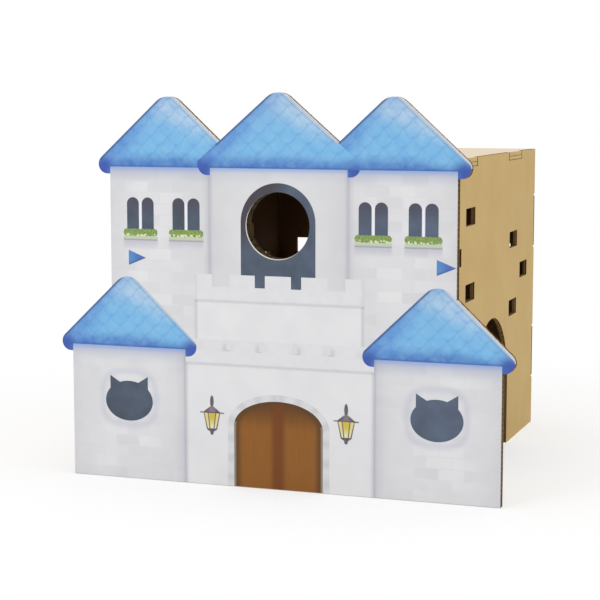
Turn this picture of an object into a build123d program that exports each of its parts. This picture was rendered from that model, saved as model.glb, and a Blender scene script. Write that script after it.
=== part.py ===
from build123d import *
import os

# A cat house of corrugated board: a tabbed box with a die-cut, printed castle front.
# Millimetres. X runs across the front, Y from the front to the back, Z up.
# The origin is on the floor, under the middle of the whole house.

# Sheets
board = 6.8             # one sheet of double-wall board
glued_board = 13.6      # two sheets glued face to face: the castle front and the top
face_sheet = 0.4        # white paper laminated on the castle front
ink = 0.2               # a printed field, as it stands on the face sheet
tab_gap = 4.0           # free length at each end of a tab in its notch
sheet_margin = 1.0      # the printed sheet stops this far above the floor

# Box
box_width = 490.0
box_depth = 646.0
box_height = 493.0

# Tabs in the box's upright edges: the side walls' at the front, the back wall's at the back
edge_tab = 88.0
edge_tab_low = 130.5    # heights of the tabs' middles
edge_tab_high = 365.5

# Tabs of the top panel in the top edges of the side walls
top_tab = 94.0
top_tab_spacing = 322.0

# Windows and arched way in of each side wall
window_length = 58.0
window_height = 27.0
window_course = 58.0    # step from one course of windows to the next
window_lowest = 229.5   # height of the lowest course's middle
near_window = -152.0    # places of the windows' middles from the middle of the depth
far_window = 152.0
rear_window = 234.0
front_window = -237.0
arch_width = 238.0
arch_height = 228.0

# Windows of the back wall
back_window_inset = 70.0    # from the box's side to the window's middle
back_window_height = 309.5

# Upper floor and floor panel
shelf_top = 268.0
shelf_fold = 22.0       # height of its folded long edges, with the board
fold_round = 6.0
shelf_tab = 70.0
shelf_tab_spacing = 250.0
climb_width = 200.0
climb_length = 180.0
climb_from_back = 60.0
climb_corner = 40.0
floor_tab = 70.0
floor_tab_spacing = 250.0

# Castle front: two low towers, a tall middle and five roofs
front_width = 677.0
low_eave = 205.5
high_width = 542.0
high_eave = 480.0
low_roof_rise = 107.5
low_roof_overhang = 18.0
side_roof_width = 228.0
side_roof_rise = 105.0
high_roof_overhang = 19.0
middle_roof_rise = 111.0
peak_round = 26.0
eave_round = 14.5
eave_droop = 10.8        # depth of a roof's rounded ends below its eave
middle_tower = 215.0    # width between the printed edges of the middle tower
gate_width = 298.0      # width of the gate wall between the low towers

# Round hole and the dark frame printed about it
hole_diameter = 99.0
hole_height = 396.5
frame_width = 117.0
frame_arch_height = 400.5

# Parapets
upper_parapet_width = 266.0
upper_parapet_base = 281.0
upper_parapet_floor = 303.0
upper_parapet_top = 321.5
upper_merlon = 41.0
upper_crenel = 16.0
outer_crenel = 27.0
lower_parapet_base = 185.0
lower_parapet_floor = 208.0
lower_parapet_top = 223.0
lower_merlon = 44.0
lower_crenel = 8.5

# Printed windows, flower troughs and pennants
lancet_width = 19.5
lancet_mullion = 5.0
lancet_foot = 378.0
lancet_top = 434.0
lancet_inset = 49.5     # from the side tower's outer edge to the outer pair's middle
lancet_spacing = 75.0   # from one pair's middle to the next
trough_width = 56.0
trough_foot = 369.0
trough_height = 6.5
leaf_radius = 5.6
leaf_count = 8
pennant_height = 23.0
pennant_length = 28.5
pennant_foot = 331.0
pennant_inset = 29.5    # from the side tower's outer edge to the pole

# Cat-head windows
cat_middle = 121.0
cat_width = 79.0
cat_height = 62.0
ear_height = 159.5
ear_tip = 31.5
ear_inner = 16.0
ear_root = 29.0         # height of the ears' inner roots over the head's middle

# Door, its stone surround and the lanterns
door_width = 141.0
door_spring = 94.0
door_height = 134.0
door_band = 7.0         # dark middle band where the two leaves meet
surround = 10.0
surround_crown = 10.0
lantern_place = 106.5
lantern_foot = 77.0
lantern_height = 60.5
lantern_width = 39.0    # over the tips of its eave
lantern_eave = 35.0     # height of the eave over the lantern's foot
lantern_cap = 8.5       # height of the sloping cap over the eave
pane_foot = 10.0
pane_foot_width = 13.2
pane_top_width = 24.4
middle_pane = 0.5       # the middle pane's share of the width
finial = 5.8            # width of the pointed knobs at its top and foot
top_finial = 19.0       # heights of the two
foot_finial = 10.0
glazing = 1.6           # metal bars

# Places that follow from the sizes
front_depth = ink + face_sheet + glued_board
house_depth = front_depth + box_depth
print_front = -house_depth / 2
sheet_front = print_front + ink
castle_front = sheet_front + face_sheet
box_front = castle_front + glued_board
box_back = box_front + box_depth
mid_depth = (box_front + box_back) / 2
inside_half = box_width / 2 - board
wall_height = box_height - glued_board
low_tower_width = (front_width - gate_width) / 2
low_tower_middle = (front_width + gate_width) / 4
sides = (-1, 1)


def block(low_x, high_x, low_y, high_y):
    """A rectangle between two corners of a flat drawing."""
    middle = Pos((low_x + high_x) / 2, (low_y + high_y) / 2)
    return middle * Rectangle(high_x - low_x, high_y - low_y)


def bar(centre, length, low, high):
    """A rectangle of the given length about a centre, from one height to another."""
    return block(centre - length / 2, centre + length / 2, low, high)


def stand_across(drawing, front, thickness):
    """Raise a drawing of X against Z, as a sheet whose front face lies at Y = front."""
    return extrude(Plane.XZ.offset(-front) * drawing, thickness, dir=(0, 1, 0))


def stand_along(drawing, left, thickness):
    """Raise a drawing of Y against Z, as a sheet whose left face lies at X = left."""
    return extrude(Plane.YZ.offset(left) * drawing, thickness, dir=(1, 0, 0))


def lay(drawing, underside, thickness):
    """Lay a drawing of X against Y down, as a sheet whose underside lies at Z = underside."""
    return extrude(Plane.XY.offset(underside) * drawing, thickness, dir=(0, 0, 1))


def round_arch(centre, width, foot, top):
    """An opening with upright sides and a half-round head."""
    spring = top - width / 2
    head = Pos(centre, spring) * Circle(width / 2) & bar(centre, width, spring, top)
    return bar(centre, width, foot, spring) + head


def low_arch(width, foot, spring, top):
    """An opening with upright sides and a flat, half-oval head."""
    head = Pos(0, spring) * Ellipse(width / 2, top - spring)
    return bar(0, width, foot, spring) + head


# Castle front

def roof(centre, width, eave, rise, overhang):
    """A gable with a rounded peak, whose rounded ends droop beside the tower below it."""
    end_place = width / 2 - eave_round
    end_height = eave - eave_droop + eave_round
    rounds = [Pos(centre, eave + rise - peak_round) * Circle(peak_round)]
    rounds += [Pos(centre + side * end_place, end_height) * Circle(eave_round) for side in sides]
    gable = make_hull([edge for disc in rounds for edge in disc.edges()])
    return gable - bar(centre, width - 2 * overhang, eave - eave_droop, eave)


def low_roofs():
    width = low_tower_width + 2 * low_roof_overhang
    places = [side * low_tower_middle for side in sides]
    return [roof(place, width, low_eave, low_roof_rise, low_roof_overhang) for place in places]


def side_roofs():
    middle = high_width / 2 + high_roof_overhang - side_roof_width / 2
    places = [side * middle for side in sides]
    return [roof(place, side_roof_width, high_eave, side_roof_rise, high_roof_overhang) for place in places]


def middle_roof():
    width = middle_tower + 2 * high_roof_overhang
    return roof(0, width, high_eave, middle_roof_rise, high_roof_overhang)


def hole():
    return Pos(0, hole_height) * Circle(hole_diameter / 2)


def castle_outline(foot):
    """The die line of the castle front, down to the given height."""
    outline = bar(0, front_width, foot, low_eave) + bar(0, high_width, foot, high_eave)
    for gable in low_roofs() + side_roofs() + [middle_roof()]:
        outline += gable
    return outline - hole()


def castle_board():
    return stand_across(castle_outline(0), castle_front, glued_board)


def printed_sheet():
    return stand_across(castle_outline(sheet_margin), sheet_front, face_sheet)


# Printed fields

def printed(drawing):
    return stand_across(drawing, print_front, ink)


def roof_print():
    """Five blue fields. The middle roof and tower stand before the side roofs."""
    tower = bar(0, middle_tower, low_eave, high_eave)
    fields = middle_roof()
    for gable in side_roofs():
        fields += gable - tower
    for gable in low_roofs():
        fields += gable
    return printed(fields)


def leaves():
    """The leaf rows over the four troughs, one scalloped field each."""
    step = (trough_width - 2 * leaf_radius) / (leaf_count - 1)
    middle = trough_foot + trough_height + leaf_radius
    rows = Sketch()
    for centre in lancet_centres():
        start = centre - trough_width / 2 + leaf_radius
        for count in range(leaf_count):
            rows += Pos(start + count * step, middle) * Circle(leaf_radius)
    return rows


def lancet_centres():
    outer = high_width / 2 - lancet_inset
    return [side * place for side in sides for place in (outer - lancet_spacing, outer)]


def window_print():
    """Eight round-topped windows in pairs, down to the leaves before them."""
    offset = (lancet_width + lancet_mullion) / 2
    lights = Sketch()
    for centre in lancet_centres():
        for side in sides:
            lights += round_arch(centre + side * offset, lancet_width, lancet_foot, lancet_top)
    return printed(lights - leaves() - troughs())


def troughs():
    boxes = Sketch()
    for centre in lancet_centres():
        boxes += bar(centre, trough_width, trough_foot, trough_foot + trough_height)
    return boxes


def trough_print():
    return printed(troughs() - leaves())


def leaf_print():
    return printed(leaves())


def pennant_print():
    """Two pennants that both fly to the right."""
    flags = Sketch()
    for side in sides:
        pole = side * (high_width / 2 - pennant_inset)
        corners = [
            (pole, pennant_foot),
            (pole + pennant_length, pennant_foot + pennant_height / 2),
            (pole, pennant_foot + pennant_height),
        ]
        flags += make_face(Polyline(corners, close=True))
    return printed(flags)


def inner_crenels():
    """The two gaps beside the parapet's middle merlon."""
    place = (upper_merlon + upper_crenel) / 2
    gaps = Sketch()
    for side in sides:
        gaps += bar(side * place, upper_crenel, upper_parapet_floor, upper_parapet_top)
    return gaps


def frame_print():
    """The dark frame round the hole, which runs down into the parapet's inner gaps."""
    arch_top = frame_arch_height + frame_width / 2
    return printed(round_arch(0, frame_width, upper_parapet_top, arch_top) + inner_crenels() - hole())


def upper_parapet_print():
    """The balcony parapet: five merlons, the outer two beyond wider gaps."""
    wall = bar(0, upper_parapet_width, upper_parapet_base, upper_parapet_top)
    outer_start = 1.5 * upper_merlon + upper_crenel
    for side in sides:
        place = side * (outer_start + outer_crenel / 2)
        wall -= bar(place, outer_crenel, upper_parapet_floor, upper_parapet_top)
    return printed(wall - inner_crenels() - hole())


def lower_parapet_print():
    """The gate's parapet, between the ends of the low roofs."""
    wall = bar(0, gate_width, lower_parapet_base, lower_parapet_top)
    pitch = lower_merlon + lower_crenel
    for place in (-1.5 * pitch, -0.5 * pitch, 0.5 * pitch, 1.5 * pitch):
        wall -= bar(place, lower_crenel, lower_parapet_floor, lower_parapet_top)
    for gable in low_roofs():
        wall -= gable
    return printed(wall)


def cat_head(centre):
    """A cat's head: a flat oval with two pointed ears, upright on the outside."""
    head = Pos(centre, cat_middle) * Ellipse(cat_width / 2, cat_height / 2)
    for side in sides:
        ear = [
            (centre + side * ear_tip, cat_middle),
            (centre + side * ear_tip, ear_height),
            (centre + side * ear_inner, cat_middle + ear_root),
            (centre, cat_middle),
        ]
        head += make_face(Polyline(ear, close=True))
    return head


def cat_window_print():
    return printed(cat_head(-low_tower_middle) + cat_head(low_tower_middle))


def door_outline():
    return low_arch(door_width, sheet_margin, door_spring, door_height)


def door_band_outline():
    return bar(0, door_band, sheet_margin, door_height) & door_outline()


def door_print():
    """The two brown leaves of the printed door."""
    return printed(door_outline() - door_band_outline())


def door_band_print():
    return printed(door_band_outline())


def surround_print():
    outer = low_arch(door_width + 2 * surround, sheet_margin, door_spring, door_height + surround_crown)
    return printed(outer - door_outline())


def taper(centre, low, high, low_width, high_width):
    """A symmetrical four-sided field whose foot and top differ in width."""
    corners = [
        (centre - low_width / 2, low),
        (centre + low_width / 2, low),
        (centre + high_width / 2, high),
        (centre - high_width / 2, high),
    ]
    return make_face(Polyline(corners, close=True))


def lantern_glass(centre, share, margin):
    """A share of the lantern's tapering glass, about its middle, with a margin on both sides."""
    low = lantern_foot + pane_foot
    high = lantern_foot + lantern_eave - glazing
    foot_width = share * pane_foot_width + 2 * margin
    return taper(centre, low, high, foot_width, share * pane_top_width + 2 * margin)


def lantern_panes(centre):
    """The three panes of a lantern, between its two slanting bars."""
    bars = lantern_glass(centre, middle_pane, glazing / 2) - lantern_glass(centre, middle_pane, -glazing / 2)
    return lantern_glass(centre, 1, 0) - bars


def lantern_frame(centre):
    """The dark metalwork of a lantern: cap, eave, bars, foot and two pointed knobs."""
    low = lantern_foot + pane_foot - glazing
    eave = lantern_foot + lantern_eave
    top = lantern_foot + lantern_height
    outer_foot = pane_foot_width + 2 * glazing
    outer_top = pane_top_width + 2 * glazing
    frame = taper(centre, low, eave, outer_foot, outer_top)
    frame += bar(centre, lantern_width, eave - glazing, eave)
    frame += taper(centre, eave, eave + lantern_cap, outer_top, finial)
    frame += Pos(centre, top - top_finial / 2) * Ellipse(finial / 2, top_finial / 2)
    frame += taper(centre, lantern_foot + foot_finial / 2, low, finial, outer_foot)
    frame += Pos(centre, lantern_foot + foot_finial / 2) * Ellipse(finial / 2, foot_finial / 2)
    return frame - lantern_panes(centre)


def lantern_print():
    return printed(lantern_frame(-lantern_place) + lantern_frame(lantern_place))


def pane_print():
    return printed(lantern_panes(-lantern_place) + lantern_panes(lantern_place))


# Box

def edge_tab_heights():
    return (edge_tab_low, edge_tab_high)


def top_tab_places():
    return [mid_depth + side * top_tab_spacing / 2 for side in sides]


def shelf_tab_places():
    return [side * shelf_tab_spacing / 2 for side in sides]


def floor_tab_places():
    return [side * floor_tab_spacing / 2 for side in sides]


def side_windows():
    """Middles of a side wall's windows: place along the depth, and height."""
    courses = [window_lowest + count * window_course for count in range(4)]
    windows = [(near_window, courses[1]), (near_window, courses[3])]
    windows += [(far_window, courses[0]), (far_window, courses[2])]
    windows += [(rear_window, courses[1]), (front_window, courses[2])]
    return windows


def side_wall(left):
    """A side wall: tabs at its front edge, notches at its back and top, windows and the way in."""
    front = box_front + board
    wall = block(front, box_back, 0, box_height)
    wall += block(box_front, front, wall_height, box_height)
    for height in edge_tab_heights():
        low, high = height - edge_tab / 2, height + edge_tab / 2
        wall += block(box_front, front, low, high)
        wall -= block(box_back - board, box_back, low - tab_gap, high + tab_gap)
    for place in top_tab_places():
        wall -= bar(place, top_tab + 2 * tab_gap, wall_height, box_height)
    for place, height in side_windows():
        wall -= Pos(mid_depth + place, height) * Rectangle(window_length, window_height)
    wall -= round_arch(mid_depth, arch_width, 0, arch_height)
    return stand_along(wall, left, board)


def front_wall():
    """The wall behind the castle front, notched at both edges for the side walls' tabs."""
    wall = bar(0, box_width, 0, wall_height) - hole()
    for height in edge_tab_heights():
        low = height - edge_tab / 2 - tab_gap
        high = height + edge_tab / 2 + tab_gap
        for side in sides:
            wall -= bar(side * (box_width - board) / 2, board, low, high)
    return stand_across(wall, box_front, board)


def back_wall():
    """The back wall: tabs at both edges, slots for the two floors, and two windows."""
    wall = bar(0, 2 * inside_half, 0, wall_height)
    for height in edge_tab_heights():
        wall += bar(0, box_width, height - edge_tab / 2, height + edge_tab / 2)
    for place in shelf_tab_places():
        wall -= bar(place, shelf_tab, shelf_top - board, shelf_top)
    for place in floor_tab_places():
        wall -= bar(place, floor_tab, 0, board)
    for side in sides:
        place = side * (box_width / 2 - back_window_inset)
        wall -= Pos(place, back_window_height) * Rectangle(window_length, window_height)
    return stand_across(wall, box_back - board, board)


def top_panel():
    """The top rests on the front and back walls, its four tabs in the side walls."""
    panel = block(-inside_half, inside_half, box_front, box_back)
    for place in top_tab_places():
        panel += block(-box_width / 2, box_width / 2, place - top_tab / 2, place + top_tab / 2)
    return lay(panel, wall_height, glued_board)


def floor_panel():
    panel = block(-inside_half, inside_half, box_front + board, box_back - board)
    for place in floor_tab_places():
        panel += bar(place, floor_tab, box_back - board, box_back)
    return lay(panel, 0, board)


def upper_floor():
    """One sheet with its long edges folded down, tabs in the back wall and a climbing hole."""
    front = box_front + board
    back = box_back - board
    sheet = bar(0, 2 * inside_half, shelf_top - shelf_fold, shelf_top)
    sheet -= bar(0, 2 * (inside_half - board), shelf_top - shelf_fold, shelf_top - board)
    sheet = fillet(sheet.vertices().group_by(Axis.Y)[-1], fold_round)
    folded = stand_across(sheet, front, back - front)
    tabs = Sketch()
    for place in shelf_tab_places():
        tabs += bar(place, shelf_tab, back, box_back)
    climb_middle = back - climb_from_back - climb_length / 2
    climb = Pos(0, climb_middle) * RectangleRounded(climb_width, climb_length, climb_corner)
    return folded + lay(tabs, shelf_top - board, board) - lay(climb, shelf_top - board, board)


pieces = {
    "castle_front": castle_board(),
    "printed_sheet": printed_sheet(),
    "roof_print": roof_print(),
    "window_print": window_print(),
    "trough_print": trough_print(),
    "leaf_print": leaf_print(),
    "pennant_print": pennant_print(),
    "frame_print": frame_print(),
    "upper_parapet_print": upper_parapet_print(),
    "lower_parapet_print": lower_parapet_print(),
    "cat_window_print": cat_window_print(),
    "door_print": door_print(),
    "door_band_print": door_band_print(),
    "surround_print": surround_print(),
    "lantern_print": lantern_print(),
    "pane_print": pane_print(),
    "front_wall": front_wall(),
    "back_wall": back_wall(),
    "left_wall": side_wall(-box_width / 2),
    "right_wall": side_wall(inside_half),
    "top_panel": top_panel(),
    "upper_floor": upper_floor(),
    "floor_panel": floor_panel(),
}

os.makedirs("parts", exist_ok=True)
for name, piece in pieces.items():
    piece.label = name
    export_step(piece, f"parts/{name}.step")
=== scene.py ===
import bpy
import bmesh
import math
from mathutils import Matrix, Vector


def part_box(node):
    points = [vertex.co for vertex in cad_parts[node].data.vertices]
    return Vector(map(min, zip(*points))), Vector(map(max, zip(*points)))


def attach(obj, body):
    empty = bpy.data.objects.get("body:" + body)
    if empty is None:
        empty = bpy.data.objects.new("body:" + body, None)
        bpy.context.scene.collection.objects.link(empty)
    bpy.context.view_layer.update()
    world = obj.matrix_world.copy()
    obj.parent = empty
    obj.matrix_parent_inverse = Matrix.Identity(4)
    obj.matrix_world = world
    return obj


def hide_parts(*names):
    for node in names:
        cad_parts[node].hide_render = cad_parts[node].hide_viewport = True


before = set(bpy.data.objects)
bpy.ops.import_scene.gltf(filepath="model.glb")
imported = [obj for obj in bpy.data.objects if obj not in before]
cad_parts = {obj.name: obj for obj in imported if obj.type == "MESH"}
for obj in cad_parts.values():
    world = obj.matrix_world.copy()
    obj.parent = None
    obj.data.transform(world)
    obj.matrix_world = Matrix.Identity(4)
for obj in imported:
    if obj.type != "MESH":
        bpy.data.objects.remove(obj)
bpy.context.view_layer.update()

# Side walls
# Two sheets of double-wall corrugated board, die-cut with the same tool: six brick-shaped windows,
# an arched way in, notches for the tabs of the back wall and of the top. Each is three kraft liners
# glued to two rows of flutes that stand upright, and the open flute ends show at every cut.
mm = 0.001
liner = 0.4 * mm
fine_flute = 2.2 * mm
fine_pitch = 6.2 * mm
coarse_flute = 3.4 * mm
coarse_pitch = 7.9 * mm
flute_paper = 0.25 * mm
glue_line = 0.02 * mm
spare = 0.2 * mm
points_per_flute = 10
box_middle = (0, 0, 240 * mm)
X, Y, Z = 0, 1, 2


class Field:
    """A value or colour that varies over a surface: a socket whose operators add Math nodes."""

    def __init__(self, tree, socket=None):
        self.tree = tree
        self.socket = socket

    def add(self, kind, settings=None, inputs=None, output=0):
        """A node of any kind: its settings first, then the values or links of its sockets."""
        node = self.tree.nodes.new(kind)
        for name, value in (settings or {}).items():
            setattr(node, name, value)
        for place, value in (inputs or {}).items():
            if isinstance(value, Field):
                self.tree.links.new(value.socket, node.inputs[place])
            else:
                node.inputs[place].default_value = value
        return Field(self.tree, node.outputs[output])

    def maths(self, operation, *others):
        """The result of a Math node on this field and others, or numbers."""
        values = dict(enumerate((self, *others)))
        return self.add("ShaderNodeMath", {"operation": operation}, values)

    def __add__(self, other):
        return self.maths("ADD", other)

    def __sub__(self, other):
        return self.maths("SUBTRACT", other)

    def __rsub__(self, other):
        return self.add("ShaderNodeMath", {"operation": "SUBTRACT"}, {0: other, 1: self})

    def __mul__(self, other):
        return self.maths("MULTIPLY", other)

    def __truediv__(self, other):
        return self.maths("DIVIDE", other)

    def __pow__(self, other):
        return self.maths("POWER", other)

    def __abs__(self):
        return self.maths("ABSOLUTE")

    def __lt__(self, other):
        return self.maths("LESS_THAN", other)

    def __gt__(self, other):
        return self.maths("GREATER_THAN", other)

    __radd__ = __add__
    __rmul__ = __mul__

    def feed(self, socket):
        """Link the field to a shader's socket."""
        self.tree.links.new(self.socket, socket)


def ink(red, green, blue):
    """A colour as it looks, from 0 to 255, in the linear values that a shader takes."""
    values = []
    for part in (red, green, blue):
        share = part / 255
        values.append(share / 12.92 if share < 0.04 else ((share + 0.055) / 1.055) ** 2.4)
    return (*values, 1.0)


def new_finish(name, roughness, specular):
    """A new material, its shader, and the field that its nodes are added from."""
    material = bpy.data.materials.new(name)
    material.use_nodes = True
    shader = material.node_tree.nodes["Principled BSDF"]
    shader.inputs["Roughness"].default_value = roughness
    shader.inputs["Specular IOR Level"].default_value = specular
    return material, shader, Field(material.node_tree)


def ease(value, low, high):
    """A smooth step of a field from 0 at low to 1 at high. Low may be the larger of the two."""
    steps = {"Value": value, "From Min": low, "From Max": high}
    if low > high:
        steps.update({"From Min": high, "From Max": low, "To Min": 1.0, "To Max": 0.0})
    return value.add("ShaderNodeMapRange", {"interpolation_type": "SMOOTHSTEP"}, steps)


def blend(amount, first, second):
    """Two colours mixed by a field: the first at 0, the second at 1."""
    colours = {0: amount, 6: first, 7: second}
    return amount.add("ShaderNodeMix", {"data_type": "RGBA"}, colours, output=2)


def object_place(start):
    """The point on the object, in metres, and its X, Y and Z."""
    point = start.add("ShaderNodeTexCoord", output="Object")
    parts = [point.add("ShaderNodeSeparateXYZ", None, {0: point}, output=axis) for axis in "XYZ"]
    return point, *parts


def noise(point, scale, detail=2.0, roughness=0.5):
    """Soft noise about 0.5. The scale is in waves per metre, one number or one for each axis."""
    scales = scale if isinstance(scale, tuple) else (scale, scale, scale)
    settings = {"operation": "MULTIPLY"}
    stretched = point.add("ShaderNodeVectorMath", settings, {0: point, 1: scales})
    values = {"Vector": stretched, "Scale": 1.0, "Detail": detail, "Roughness": roughness}
    return point.add("ShaderNodeTexNoise", None, values)


kraft_tones = (ink(190, 158, 98), ink(212, 184, 126))


def kraft_face(name, run, tones=kraft_tones, roughness=0.7, specular=0.2):
    """Brown kraft liner: fibres, soft blotches, and faint stripes of painted shade over the flutes
    beneath, whose ridges also get a slight relief.
    """
    material, shader, start = new_finish(name, roughness, specular)
    point, *places = object_place(start)
    fibres_per_metre = [2200.0, 2200.0, 2200.0]
    fibres_per_metre[run] = 900.0
    fibres = noise(point, tuple(fibres_per_metre), detail=3.0)
    blotches = noise(point, 14.0, detail=3.0)
    ridge_shade_and_relief = (places[run] * (2 * math.pi / coarse_pitch)).maths("SINE")
    # The stripes in the tone are painted shade of the flute ridges; the bump below gives them their
    # real relief.
    tone = 0.5 + (fibres - 0.5) * 0.55 + (blotches - 0.5) * 0.7 + ridge_shade_and_relief * 0.045
    colour = blend(tone, *tones)
    colour.feed(shader.inputs["Base Color"])
    relief = {"Strength": 0.35, "Distance": 2 * mm, "Height": fibres * 0.04 + ridge_shade_and_relief * 0.05}
    start.add("ShaderNodeBump", None, relief).feed(shader.inputs["Normal"])
    return material, shader, colour


def paint_inside_shade(material, shader, colour):
    """Paint shade on a liner where it faces the middle of the box: a darker brown stands in for the
    dim inside.
    """
    point, *_ = object_place(colour)
    arm = colour.add("ShaderNodeVectorMath", {"operation": "SUBTRACT"}, {0: point, 1: box_middle})
    vectors = {0: arm, 1: colour.add("ShaderNodeNewGeometry", output="Normal")}
    outward = colour.add("ShaderNodeVectorMath", {"operation": "DOT_PRODUCT"}, vectors, "Value")
    # Painted shade: faces turned towards the middle of the box take a flat darker brown.
    colour = blend(outward < 0, colour, ink(136, 102, 68))
    colour.feed(shader.inputs["Base Color"])
    return material, shader, colour


def raw_paper(name, dark, light):
    """Unprinted paper inside the board, with the two tones of its fibres."""
    material, shader, start = new_finish(name, roughness=0.8, specular=0.2)
    point, *_ = object_place(start)
    colour = blend(noise(point, 800.0, detail=3.0), dark, light)
    colour.feed(shader.inputs["Base Color"])
    return material, shader, colour


edge_finish = raw_paper("kraft_edge", ink(128, 96, 60), ink(166, 131, 86))[0]
flute_finish = raw_paper("flute_paper", ink(116, 86, 54), ink(148, 114, 74))[0]
FACE, EDGE, FLUTE = 0, 1, 2


def paper_band(mesh, axes, line, thickness, reach, finish):
    """Add a closed band of paper: a line of (run, height) points, swept along the flutes."""
    run, stack, flute = axes
    rings = []
    for end in reach:
        for side in (-0.5, 0.5):
            ring = []
            for place, height in line:
                corner = Vector((0, 0, 0))
                corner[run] = place
                corner[stack] = height + side * thickness
                corner[flute] = end
                ring.append(mesh.verts.new(corner))
            rings.append(ring)
    under_start, over_start, under_end, over_end = rings
    loop = (under_start, over_start, over_end, under_end)
    faces = [[ring[place] for ring in loop] for place in (0, -1)]
    for count in range(len(line) - 1):
        for ring, beside in zip(loop, loop[1:] + loop[:1]):
            faces.append((ring[count], ring[count + 1], beside[count + 1], beside[count]))
    for corners in faces:
        mesh.faces.new(corners).material_index = finish


def fluted_stack(boards, low, high):
    """The plies of glued boards as one mesh, a little larger than the sheet all round."""
    mesh = bmesh.new()
    stack = boards[0][0][1]
    level = low[stack]
    for axes, plies in boards:
        run, _, flute = axes
        start, end = low[run] - spare, high[run] + spare
        reach = (low[flute] - spare, high[flute] + spare)
        for thickness, pitch in plies:
            bottom, top = level, level + thickness
            if pitch:
                swing = (thickness - flute_paper) / 2 - glue_line
                steps = math.ceil((end - start) / pitch * points_per_flute)
                line = []
                for step in range(steps + 1):
                    place = start + step * (end - start) / steps
                    rise = swing * math.sin(2 * math.pi * (place - start) / pitch)
                    line.append((place, (bottom + top) / 2 + rise))
                paper_band(mesh, axes, line, flute_paper, reach, FLUTE)
            else:
                bottom -= spare if bottom == low[stack] else 0
                top += spare if top > high[stack] - spare else 0
                middle = (bottom + top) / 2
                paper_band(mesh, axes, [(start, middle), (end, middle)], top - bottom, reach, FACE)
            level += thickness
    bmesh.ops.recalc_face_normals(mesh, faces=mesh.faces)
    return mesh


def mesh_object(name, mesh, finishes):
    """An object in the scene from a mesh that was built for it, with its finishes in order."""
    data = bpy.data.meshes.new(name)
    mesh.to_mesh(data)
    mesh.free()
    for material in finishes:
        data.materials.append(material)
    made = bpy.data.objects.new(name, data)
    bpy.context.scene.collection.objects.link(made)
    return made


def die_cut(name, node, boards, finishes):
    """Corrugated board cut to the outline of a CAD node, which it stands for."""
    low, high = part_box(node)
    stack = boards[0][0][1]
    cutter_mesh = bmesh.new()
    cutter_mesh.from_mesh(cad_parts[node].data)
    bmesh.ops.remove_doubles(cutter_mesh, verts=cutter_mesh.verts, dist=1e-6)
    for face in cutter_mesh.faces:
        face.material_index = FACE if abs(face.normal[stack]) > 0.5 else EDGE
    cutter = mesh_object(name + "_outline", cutter_mesh, finishes)
    piece = mesh_object(name, fluted_stack(boards, low, high), finishes)
    cut = piece.modifiers.new("die cut", "BOOLEAN")
    cut.operation = "INTERSECT"
    cut.solver = "MANIFOLD"
    cut.object = cutter
    bpy.context.view_layer.update()
    evaluated = piece.evaluated_get(bpy.context.evaluated_depsgraph_get())
    shaped = bpy.data.meshes.new_from_object(evaluated)
    piece.modifiers.clear()
    piece.data = shaped
    bpy.data.objects.remove(cutter)
    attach(piece, "root")
    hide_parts(node)
    return piece


double_wall = [
    (liner, 0), (fine_flute, fine_pitch), (liner, 0), (coarse_flute, coarse_pitch), (liner, 0),
]
side_finishes = [paint_inside_shade(*kraft_face("kraft_along", Y))[0], edge_finish, flute_finish]
upright_along = (Y, X, Z)
for side in ("left", "right"):
    die_cut(f"{side}_side_board", f"{side}_wall", [(upright_along, double_wall)], side_finishes)

# Front and back walls
# The same board with upright flutes. The front wall is notched for the side walls' tabs and has the
# round hole, whose cut edge is painted dark as shade; the back wall's own tabs lie in the side walls'
# notches.
hole_height = 396.5 * mm
hole_rim = 49.5 * mm
hole_shade_band = 10 * mm


def paint_hole_shade(material, shader, colour):
    """Paint shade on a paper in the cut edge of the round hole and in a band around it."""
    _, x, _, z = object_place(colour)
    from_middle = (x ** 2 + (z - hole_height) ** 2) ** 0.5
    # Painted shade: dark brown over the hole's cut edge and a band around its rim.
    colour = blend((from_middle < hole_rim + hole_shade_band) * 0.75, colour, ink(52, 42, 38))
    colour.feed(shader.inputs["Base Color"])
    return material


across_finishes = [paint_inside_shade(*kraft_face("kraft_across", X))[0], edge_finish, flute_finish]
front_wall_finishes = [
    paint_hole_shade(*paint_inside_shade(*kraft_face("kraft_behind", X))),
    # The front wall's cut edges and flutes are lighter copies of the same papers: painted light.
    paint_hole_shade(*raw_paper("front_edge_lit", ink(140, 108, 72), ink(176, 142, 98))),
    paint_hole_shade(*raw_paper("front_flute_lit", ink(124, 94, 60), ink(154, 120, 80))),
]
upright_across = (X, Y, Z)
die_cut("front_wall_board", "front_wall", [(upright_across, double_wall)], front_wall_finishes)
die_cut("back_wall_board", "back_wall", [(upright_across, double_wall)], across_finishes)

# Floor panel and upper floor
# Both lie in slots of the back wall. The upper floor's long edges are folded down against the side
# walls, where the board is crushed solid, and its climbing hole has rounded corners.
flat_across = (X, Z, Y)
die_cut("floor_board", "floor_panel", [(flat_across, double_wall)], across_finishes)
shelf_low, shelf_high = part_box("upper_floor")
fold = shelf_high.z - shelf_low.z - sum(thickness for thickness, _ in double_wall[1:])
folded_board = [(fold, 0)] + double_wall[1:]
die_cut("upper_floor_board", "upper_floor", [(flat_across, folded_board)], across_finishes)

# Top panel
# Two boards glued face to face. It rests on the front and back walls, flush with the side walls'
# edges. The ends of its four tabs, which lie in their notches, are closed with a strip of liner for
# each board, and a dark seam is left between the two and beneath them.
strip = 1.0 * mm
seam = 0.9 * mm
tab_length = 94 * mm
tab_middles = (-153.9 * mm, 168.1 * mm)
glued_boards = [(flat_across, double_wall), (flat_across, double_wall)]
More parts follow.
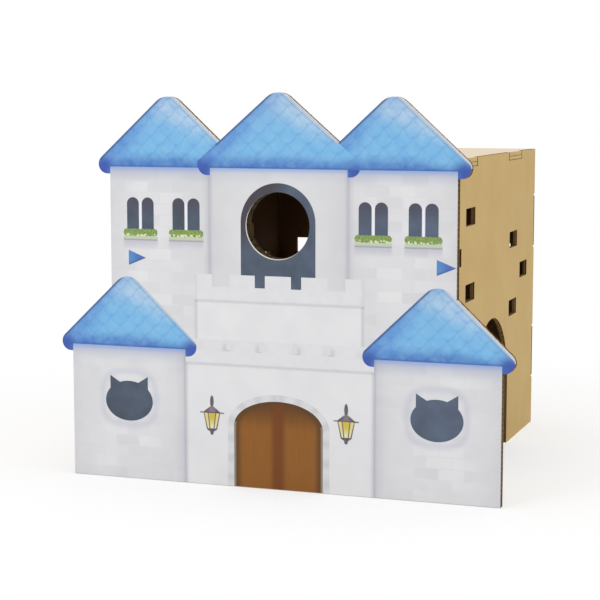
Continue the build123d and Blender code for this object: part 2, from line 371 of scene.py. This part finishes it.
# The top's kraft tones are paler than the walls' same kraft: painted light from above.
top_tones_lit = (ink(190, 164, 120), ink(214, 192, 150))
top_face = paint_inside_shade(*kraft_face("kraft_top", X, top_tones_lit, roughness=0.33, specular=0.7))[0]
top_finishes = [top_face, edge_finish, flute_finish, side_finishes[FACE]]
top_board = die_cut("top_board", "top_panel", glued_boards, top_finishes)
top_low, top_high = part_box("top_panel")
top_mesh = bmesh.new()
top_mesh.from_mesh(top_board.data)
for corner in top_mesh.verts:
    corner.co.x = max(top_low.x + strip, min(top_high.x - strip, corner.co.x))
board_seam = (top_low.z + top_high.z) / 2
strip_heights = ((top_low.z + seam, board_seam - seam / 2), (board_seam + seam / 2, top_high.z))
for end in (top_low.x + strip / 2, top_high.x - strip / 2):
    for middle in tab_middles:
        line = [(middle - tab_length / 2, end), (middle + tab_length / 2, end)]
        for heights in strip_heights:
            paper_band(top_mesh, upright_along, line, strip, heights, len(top_finishes) - 1)
top_mesh.to_mesh(top_board.data)
top_mesh.free()

# Castle front
# Two boards glued crosswise and die-cut along the five roofs. The flutes of the outer one lie level,
# so its upright cut edges show dark open ends, painted darker still as shade; a thin pale sheet over
# the sloping cuts is a painted highlight.
highlight_reach = 7.5 * mm
highlight_thickness = 0.2 * mm
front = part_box("castle_front")[0].y
front_face, shader, colour = kraft_face("kraft_level", Z)
_, _, depth, _ = object_place(colour)
colour = blend(depth < front + mm, colour, ink(196, 193, 192))
level_flutes = (Z, Y, X)
front_finishes = [
    paint_hole_shade(front_face, shader, colour),
    # The castle front's cut edges and flutes are darker copies of the same papers: painted shade in
    # the open flutes and beside the box.
    paint_hole_shade(*raw_paper("castle_edge_in_shade", ink(92, 68, 46), ink(120, 92, 62))),
    paint_hole_shade(*raw_paper("castle_flute_in_shade", ink(80, 60, 42), ink(108, 82, 56))),
]
crosswise = [(level_flutes, double_wall), (upright_across, double_wall)]
die_cut("castle_front_board", "castle_front", crosswise, front_finishes)


def looks_up(face):
    """Whether a face of the cut edge is part of a roof's slope or rounded peak."""
    middle = face.calc_center_median()
    above_eaves = math.hypot(middle.x, middle.z - hole_height) > 2 * hole_rim
    return face.normal.z > 0.05 and abs(face.normal.y) < 0.5 and above_eaves


# Painted highlight: a thin pale sheet over the up-facing cut faces of the roofs' slopes and peaks,
# where light from above falls.
highlight_mesh = bmesh.new()
highlight_mesh.from_mesh(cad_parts["castle_front"].data)
bmesh.ops.remove_doubles(highlight_mesh, verts=highlight_mesh.verts, dist=1e-6)
others = [face for face in highlight_mesh.faces if not looks_up(face)]
bmesh.ops.delete(highlight_mesh, geom=others, context="FACES")
everything = highlight_mesh.verts[:] + highlight_mesh.edges[:] + highlight_mesh.faces[:]
highlight_end = {"plane_co": (0, front + highlight_reach, 0), "plane_no": (0, 1, 0)}
bmesh.ops.bisect_plane(highlight_mesh, geom=everything, clear_outer=True, **highlight_end)
bmesh.ops.solidify(highlight_mesh, geom=highlight_mesh.faces[:], thickness=highlight_thickness)
highlight_finish, shader, start = new_finish("painted_highlight", roughness=0.6, specular=0.3)
shader.inputs["Base Color"].default_value = ink(224, 223, 228)
highlight_strip = mesh_object("painted_highlight", highlight_mesh, [highlight_finish])
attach(highlight_strip, "root")

# Printed face sheet
# White paper glued over the whole castle front. Its print shades the towers and walls like pale
# stone: grey sides, blue-grey shadows under the eaves and beside each step, and faint bricks. All
# measures of the print are in millimetres on the front, from its middle and from the floor.
low_eave, high_eave = 205.5, 480.0
tower_side, balcony_side, gate_side, high_side, low_side = 107.5, 131.0, 149.0, 271.0, 338.5
balcony_top, parapet_base, gate_top = 303.0, 281.0, 185.0
merlon_foot, merlon_pitch = 208.0, 52.5
low_middle = (gate_side + low_side) / 2
high_middle = (tower_side + high_side) / 2
pairs_middle, pair_offset = 184.0, 37.5
trough_foot = 369.0
cat_height, cat_half_width, cat_half_height = 125.0, 39.5, 37.0
brick_width, brick_height, mortar = 38.0, 17.0, 1.5


def front_place(start):
    """The point, its X and Z on the castle front in millimetres, and its distance from the middle."""
    point, x, _, z = object_place(start)
    return point, x / mm, z / mm, abs(x / mm)


def soft_line(value, place, reach):
    """1 where a field is at a place, fading to 0 at the given reach on both sides."""
    return ease(abs(value - place), reach, 0)


def within(value, low, high):
    """1 where a field lies between two values."""
    return (value > low) * (value < high)


def from_nearest(value, pitch):
    """How far a field lies past the nearest multiple of a pitch: half a pitch at most, either way."""
    return ((value / pitch + 0.5).maths("FRACT") - 0.5) * pitch


def side_of(x):
    """1 to the right of the house's middle and -1 to its left."""
    return (x > 0) * 2 - 1


def print_on(node, finish):
    """Give a printed field, a solid of its own in the CAD, its finish."""
    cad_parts[node].data.materials.clear()
    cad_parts[node].data.materials.append(finish)


sheet_finish, shader, start = new_finish("printed_sheet", roughness=0.5, specular=0.3)
point, x, z, reach = front_place(start)
low_tower = (reach > gate_side) * (z < low_eave)
over_balcony = z > balcony_top
high_tower = (z > low_eave) * (reach > balcony_side - over_balcony * (balcony_side - tower_side))
middle_tower = over_balcony * (reach < tower_side)
low_round = abs(reach - low_middle) / (low_side - low_middle)
high_round = abs(reach - high_middle) / (high_side - high_middle)
side_shade = low_tower * (0.2 + low_round ** 3 * 0.35) + high_tower * (0.2 + high_round ** 3 * 0.3)
side_shade = side_shade + middle_tower * (0.25 + (reach / tower_side) ** 3 * 0.35)
brick_values = {
    "Vector": start.add("ShaderNodeCombineXYZ", None, {0: x, 1: z}), "Scale": 1.0,
    "Brick Width": brick_width, "Row Height": brick_height,
    "Mortar Size": mortar, "Mortar Smooth": 1.0,
    "Color1": (0.0, 0.0, 0.0, 1.0), "Color2": (1.0, 1.0, 1.0, 1.0), "Mortar": (0.5, 0.5, 0.5, 1.0),
}
bricks = start.add("ShaderNodeTexBrick", None, brick_values) - 0.5
patchy = low_tower * ease(low_round, 0.7, 0.1) + high_tower * ease(high_round, 0.9, 0.2)
brick_patches = bricks * (0.14 + patchy * 0.3) * (low_tower + high_tower)
clouds = (noise(point, 25.0, detail=3.0) - 0.5) * 0.5
fibres = (noise(point, 1500.0, detail=2.0) - 0.5) * 0.12
tone = 0.9 - side_shade + brick_patches + clouds + fibres
colour = blend(tone, ink(197, 197, 201), ink(226, 226, 227))
eaves = ease(z, high_eave - 27, high_eave) * (1 - middle_tower * 0.5)
eaves = eaves + ease(z, low_eave - 27, low_eave) * low_tower
colour = blend(eaves * 0.7, colour, ink(168, 174, 198))
under_eaves = ease(z, high_eave - 9, high_eave) + ease(z, low_eave - 9, low_eave) * low_tower
colour = blend(under_eaves * 0.57, colour, ink(120, 158, 225))
tower_cast = over_balcony * (reach > tower_side) * ease(reach, tower_side + 13, tower_side)
gate_cast = low_tower * ease(reach, gate_side + 20, gate_side)
colour = blend(tower_cast * 0.3 + gate_cast * 0.16, colour, ink(160, 158, 174))
steps = soft_line(reach, tower_side, 6) * over_balcony * 0.24
steps = steps + soft_line(reach, gate_side, 6) * (z < low_eave) * 0.34
steps = steps + soft_line(reach, balcony_side, 4) * within(z, gate_top, parapet_base) * 0.28
steps = steps + soft_line(z, parapet_base, 4) * (reach < balcony_side + 3) * 0.26
steps = steps + soft_line(z, gate_top, 4) * (reach < gate_side) * 0.26
gaps = (abs(from_nearest(x, merlon_pitch)) > 21.5) * (reach < 101)
steps = steps + gaps * within(z, merlon_foot, merlon_foot + 15) * 0.1
colour = blend(steps, colour, ink(140, 138, 158))
from_pair = abs(abs(reach - pairs_middle) - pair_offset)
trough_cast = ease(from_pair, 31, 25) * ease(z, trough_foot - 17, trough_foot) * (z < trough_foot)
colour = blend(trough_cast * 0.4, colour, ink(160, 156, 180))
mullions = ease(from_pair, 4, 0) * ease(z, 434, 422) * (z > 380)
colour = blend(mullions * 0.8, colour, ink(238, 240, 248))
across, up = abs(reach - low_middle) / cat_half_width, abs(z - cat_height) / cat_half_height
head = (across ** 3 + up ** 3) ** 0.333
colour = blend(soft_line(head, 1.13, 0.24) * 0.34, colour, ink(180, 180, 202))
beside_roofs = (z > high_eave + 3) + (z > low_eave + 3) * (reach > high_side + 1)
colour = blend(beside_roofs, colour, ink(184, 188, 198))
colour.feed(shader.inputs["Base Color"])
print_on("printed_sheet", sheet_finish)

# Printed roofs
# Five fields of blue, each darker along its eave and its left slope, with a pale gleam near the
# right one, faint round-ended tiles, and deep blue curls at the ends. The middle roof overlaps its
# neighbours. The print lies left of the cut, so a pale line of paper shows along each right slope.
roof_middles = (low_middle, 176.0, 0.0)
roof_halves = (123.1, 125.0, 138.5)
roof_slopes = (1.049, 1.095, 1.161)
middle_roof_end = 127.5
square_to_slope = 0.69
tile_width, tile_height, tile_start, joint = 28.5, 27.5, 5.5, 0.14
roof_finish, shader, start = new_finish("roof_blue", roughness=0.45, specular=0.3)
point, x, z, reach = front_place(start)
high = z > 400
rise = z - low_eave - high * (high_eave - low_eave)
slope_end = (roof_halves[2] - rise * roof_slopes[2]).maths("MINIMUM", middle_roof_end)
middle = high * (reach < slope_end)


def by_roof(values):
    """One of three values: for the low roofs, the high ones beside the middle, and the middle one."""
    return values[0] + high * (values[1] - values[0]) + middle * (values[2] - values[1])


place = x - side_of(x) * by_roof(roof_middles)
half = by_roof(roof_halves) - rise * by_roof(roof_slopes)
from_left, from_right = (half + place) * square_to_slope, (half - place) * square_to_slope
above_eave = rise + ease(place, 20, 90) * (10 - middle * 6)
colour = blend(ease(above_eave, 4, 26), ink(62, 114, 190), ink(114, 178, 226))
colour = blend(ease(rise, 45, 112), colour, ink(138, 178, 216))
left_slope = from_left + ease(rise, 30, 80) * (16 - middle * 6)
colour = blend(ease(left_slope, 38, 4) * 0.95, colour, ink(82, 134, 206))
clouds = noise(point, 70.0, detail=4.0, roughness=0.6) - 0.5
gleam = ease(from_right - ease(rise, 55, 95) * (1 - middle) * 14, 44, 6) * ease(rise, 26, 70)
gleam = gleam * (0.62 + clouds * 1.6) * (0.55 + ease(rise, 104, 78) * 0.45)
colour = blend(gleam, colour, ink(186, 206, 230))
colour = blend(0.14 + clouds * 0.7, colour, ink(164, 210, 226))
beside = from_nearest(place / (tile_width + middle * 2.2), 1)
up = (rise - middle * 4 - tile_start) / tile_height
one_row = abs((up - beside * beside * 2).maths("FRACT") - 0.5)
other_row = abs((up + 0.5 - (0.5 - abs(beside)) ** 2 * 2).maths("FRACT") - 0.5)
joints = ease(one_row, joint, 0) * ((beside > 0) * 0.4 + 0.6)
joints = joints + ease(other_row, joint, 0) * ((beside < 0) * 0.4 + 0.6)
colour = blend(joints * 0.19, colour, ink(62, 114, 190))
curl = ease(abs(place) - middle * 12, 80, 106) * ease(rise, 24, 2)
curl_strength = 0.85 - middle * (place > 0) * (rise > 0) * 0.5
colour = blend(curl * curl_strength, colour, ink(52, 74, 164))
eave_line = soft_line(rise, 0, 5) * (abs(place) < 104 + middle * 12)
colour = blend(eave_line * 0.6, colour, ink(58, 90, 156))
overlap = middle * 33
left_line = ease(from_left, 4.4, 1.6) * (0.2 + (rise > overlap) * 0.6)
colour = blend(left_line, colour, ink(60, 84, 128))
bare = rise > 6 + overlap
colour = blend(soft_line(from_right, 4.4, 2.4) * bare * 0.34, colour, ink(116, 136, 160))
colour = blend(ease(from_right, 2.6, 1.2) * bare, colour, ink(196, 199, 208))
colour.feed(shader.inputs["Base Color"])
print_on("roof_print", roof_finish)

# Printed windows and the frame of the hole
# Slate fields: the lancets, the cats' heads, and the frame that the hole is cut through. The frame
# turns from a warm dark grey at the upper left to blue-grey, and as its print lies a little to the
# lower left of the cut, a white crescent is left there along the hole.
print_left, print_low = 1.2, 1.3
slate_finish, shader, start = new_finish("slate_ink", roughness=0.5, specular=0.3)
point, x, z, reach = front_place(start)
drift = 0.5 + (noise(point, 34.0, detail=2.0) - 0.5) * 1.6 + x / 800
colour = blend(drift, ink(66, 76, 88), ink(88, 100, 121))
frame_tone = ease(z - x * 1.5, 420, 480) * (reach < 60)
colour = blend(frame_tone * 0.8, colour, ink(66, 57, 62))
lancet_top = ease(z, 400, 434) * (reach > 60)
colour = blend(lancet_top * 0.7, colour, ink(76, 70, 84))
printed_hole = ((x + print_left) ** 2 + (z - hole_height / mm + print_low) ** 2) ** 0.5
missed = printed_hole < hole_rim / mm
colour = blend(missed, colour, ink(208, 206, 192))
colour.feed(shader.inputs["Base Color"])
for node in ("window_print", "cat_window_print", "frame_print"):
    print_on(node, slate_finish)

# Printed troughs, leaves and pennants
# Pale troughs with yellow-green leaves over them and small pale flowers along their lower edge, and
# two blue pennants that both fly to the right.
pole_offset, pennant_top = 241.5, 342.5
trough_finish, shader, start = new_finish("trough_ink", roughness=0.5, specular=0.3)
_, _, z, _ = front_place(start)
colour = blend(ease(z, trough_foot, trough_foot + 3.5), ink(156, 154, 172), ink(192, 203, 176))
colour.feed(shader.inputs["Base Color"])
print_on("trough_print", trough_finish)

leaf_finish, shader, start = new_finish("leaf_ink", roughness=0.5, specular=0.3)
point, _, z, _ = front_place(start)
colour = blend(noise(point, 330.0, detail=3.0) * 1.6 - 0.3, ink(90, 116, 58), ink(156, 180, 104))
spots = {"Vector": point, "Scale": 210.0}
to_flower = start.add("ShaderNodeTexVoronoi", None, spots, output="Distance")
flowers = ease(to_flower, 0.5, 0.36) * ease(z, 380.5, 378.5)
colour = blend(flowers * 0.85, colour, ink(230, 234, 190))
colour.feed(shader.inputs["Base Color"])
print_on("leaf_print", leaf_finish)

pennant_finish, shader, start = new_finish("pennant_blue", roughness=0.5, specular=0.3)
_, x, z, _ = front_place(start)
from_pole = x - pole_offset * side_of(x)
colour = blend(ease(from_pole, 2, 20), ink(86, 138, 198), ink(80, 108, 180))
colour = blend(ease(from_pole, 20, 27) * 0.7, colour, ink(136, 128, 190))
colour = blend(ease(pennant_top - z + from_pole * 0.4, 7, 11) * 0.8, colour, ink(66, 98, 150))
colour = blend(ease(from_pole, 2.5, 0.5) * 0.6, colour, ink(110, 128, 150))
colour.feed(shader.inputs["Base Color"])
print_on("pennant_print", pennant_finish)

# Printed parapets
# The balcony's and the gate's, a little paler than the walls, with soft grey lines along the inner
# edges of the gate's merlons.
parapet_finish, shader, start = new_finish("parapet_ink", roughness=0.5, specular=0.3)
point, x, z, reach = front_place(start)
colour = blend(noise(point, 60.0, detail=3.0), ink(214, 214, 216), ink(226, 226, 229))
colour = blend(soft_line(z, parapet_base, 4) * 0.26, colour, ink(150, 148, 164))
colour = blend(soft_line(z, gate_top, 4) * 0.3, colour, ink(150, 148, 164))
colour = blend(ease(reach, 126, 133) * (z > 250) * 0.24, colour, ink(170, 168, 184))
to_merlon = from_nearest(x, merlon_pitch)
inner_edge = (side_of(x) * to_merlon < 0) * (reach > merlon_pitch / 2)
merlon_edge = ease(abs(to_merlon), 12, 22) * ease(z, merlon_foot + 16, merlon_foot + 2)
merlon_edge = merlon_edge * (z > merlon_foot - 2)
colour = blend(merlon_edge * (0.1 + inner_edge * 0.3), colour, ink(160, 160, 164))
colour.feed(shader.inputs["Base Color"])
for node in ("upper_parapet_print", "lower_parapet_print"):
    print_on(node, parapet_finish)

# Printed door and its stone surround
# The gate in the middle of the castle is only printed: two brown leaves with a dark meeting edge,
# deep-set in a grey jamb, under an arch of pale blocks.
spring_height, arch_half_width, arch_rise = 94.0, 70.5, 40.0
block_height, blocks_per_radian, blocks_middle, bend_height = 30.0, 3, 60.0, 90.0
door_finish, shader, start = new_finish("door_brown", roughness=0.5, specular=0.3)
point, x, z, reach = front_place(start)
over_spring = (z - spring_height).maths("MAXIMUM", 0)
arch = ((reach / arch_half_width) ** 2 + (over_spring / arch_rise) ** 2) ** 0.5
grain = noise(point, (420.0, 100.0, 26.0), detail=3.0)
colour = blend(grain, ink(126, 77, 19), ink(152, 97, 36))
colour = blend(ease(z, 84, 128) * 0.85, colour, ink(90, 54, 16))
colour = blend(ease(reach, 15, 4) * 0.9, colour, ink(110, 58, 12))
colour = blend(ease(arch, 0.78, 0.94) * 0.85, colour, ink(86, 58, 26))
colour = blend(ease(arch, 0.94, 0.97) * (z < 100) * 0.9, colour, ink(146, 130, 116))
colour.feed(shader.inputs["Base Color"])
for node in ("door_print", "door_band_print"):
    print_on(node, door_finish)

surround_finish, shader, start = new_finish("stone_ink", roughness=0.5, specular=0.3)
point, _, z, reach = front_place(start)
angle = (z - blocks_middle).maths("ARCTAN2", reach)
straight = soft_line((z / block_height).maths("FRACT"), 0.5, 0.4)
curved = soft_line((angle * blocks_per_radian).maths("FRACT"), 0.5, 0.4)
blocks = straight * (z < bend_height) + curved * (z > bend_height)
colour = blend(blocks * 0.6, ink(221, 221, 222), ink(194, 195, 200))
colour = blend(noise(point, 120.0, detail=2.0) * 0.3, colour, ink(178, 180, 186))
colour.feed(shader.inputs["Base Color"])
print_on("surround_print", surround_finish)

# Printed lanterns
# One on each side of the door: dark grey-purple metalwork about three panes, which are golden above
# and pale below.
lantern_middle = 106.5
metal_finish, shader, start = new_finish("lantern_dark", roughness=0.5, specular=0.3)
point, _, z, reach = front_place(start)
colour = blend(noise(point, 300.0, detail=2.0) * 1.6 - 0.3, ink(74, 64, 78), ink(122, 112, 120))
lid_gleam = ease(abs(reach - lantern_middle), 8, 2) * within(z, 112, 121)
colour = blend(lid_gleam * 0.5, colour, ink(150, 142, 146))
colour.feed(shader.inputs["Base Color"])
print_on("lantern_print", metal_finish)

pane_finish, shader, start = new_finish("pane_yellow", roughness=0.5, specular=0.3)
_, _, z, reach = front_place(start)
colour = blend(ease(z, 88, 104), ink(224, 220, 176), ink(206, 184, 66))
colour = blend(ease(abs(reach - lantern_middle), 4, 7) * 0.6, colour, ink(230, 216, 160))
colour.feed(shader.inputs["Base Color"])
print_on("pane_print", pane_finish)

# Floor of the studio
# A wide white sheet that takes the house's soft shadow. Seen by the camera or in a gloss, it turns
# to plain white away from the house, and it gives the house no more light for that.
floor_mesh = bmesh.new()
bmesh.ops.create_grid(floor_mesh, x_segments=1, y_segments=1, size=12.0)
floor_finish, shader, start = new_finish("white_floor", roughness=0.9, specular=0.0)
shader.inputs["Base Color"].default_value = ink(250, 250, 250)
_, x, y, _ = object_place(start)
away = 0.6 + ease((x ** 2 + y ** 2) ** 0.5, 0.4, 1.2) * 0.4


def shown(start):
    """1 for what the camera sees, directly, in a gloss or through glass."""
    camera, gloss, glass = (
        start.add("ShaderNodeLightPath", output=f"Is {kind} Ray")
        for kind in ("Camera", "Glossy", "Transmission")
    )
    return camera.maths("MAXIMUM", gloss).maths("MAXIMUM", glass)


glow = start.add("ShaderNodeEmission", None, {"Color": (1, 1, 1, 1), "Strength": 1.0})
paper = Field(start.tree, shader.outputs[0])
lit = start.add("ShaderNodeMixShader", None, {0: away * shown(start), 1: paper, 2: glow})
lit.feed(start.tree.nodes["Material Output"].inputs["Surface"])
mesh_object("studio_floor", floor_mesh, [floor_finish])

# Light and backdrop
# A white room gives most of the light. One soft box stands at the front left, one hangs overhead and
# a weak one fills the right side. Behind the house the room shows as plain white.
world = bpy.data.worlds.new("studio")
bpy.context.scene.world = world
world.use_nodes = True
room = Field(world.node_tree)
backdrop = world.node_tree.nodes["Background"]
backdrop.inputs["Color"].default_value = (1, 1, 1, 1)
backdrop.inputs["Strength"].default_value = 1.0
room_light = room.add("ShaderNodeBackground", None, {"Color": (1, 1, 1, 1), "Strength": 0.72})
backdrop_light = Field(world.node_tree, backdrop.outputs[0])
both = room.add("ShaderNodeMixShader", None, {0: shown(room), 1: room_light, 2: backdrop_light})
both.feed(world.node_tree.nodes["World Output"].inputs["Surface"])


def soft_box(name, place, size, power):
    """A square lamp that faces the middle of the house."""
    lamp = bpy.data.lights.new(name, "AREA")
    lamp.size = size
    lamp.energy = power
    light = bpy.data.objects.new(name, lamp)
    light.location = place
    towards = Vector((0, 0, 0.3)) - light.location
    light.rotation_euler = towards.to_track_quat("-Z", "Y").to_euler()
    bpy.context.scene.collection.objects.link(light)


soft_box("front_left_box", (-1.4, -2.8, 2.4), 2.0, 30)
soft_box("overhead_box", (0.2, 0.1, 3.2), 2.6, 24)
soft_box("right_fill", (2.9, -0.6, 2.3), 1.6, 9)

# Camera
# A long lens at the photograph's place and angle, fitted to the edges of the house. It looks to the
# left by the turn and down by the dip, in radians.
camera_data = bpy.data.cameras.new("photo_view")
camera_data.lens = 100.75
camera_data.sensor_width = 36.0
camera = bpy.data.objects.new("photo_view", camera_data)
camera.location = (0.85501, -2.63881, 0.58411)
turn, dip = 0.3414, 0.1202
camera.rotation_euler = (math.pi / 2 - dip, 0, turn)
bpy.context.scene.collection.objects.link(camera)
bpy.context.scene.camera = camera
bpy.context.scene.view_settings.view_transform = "Standard"
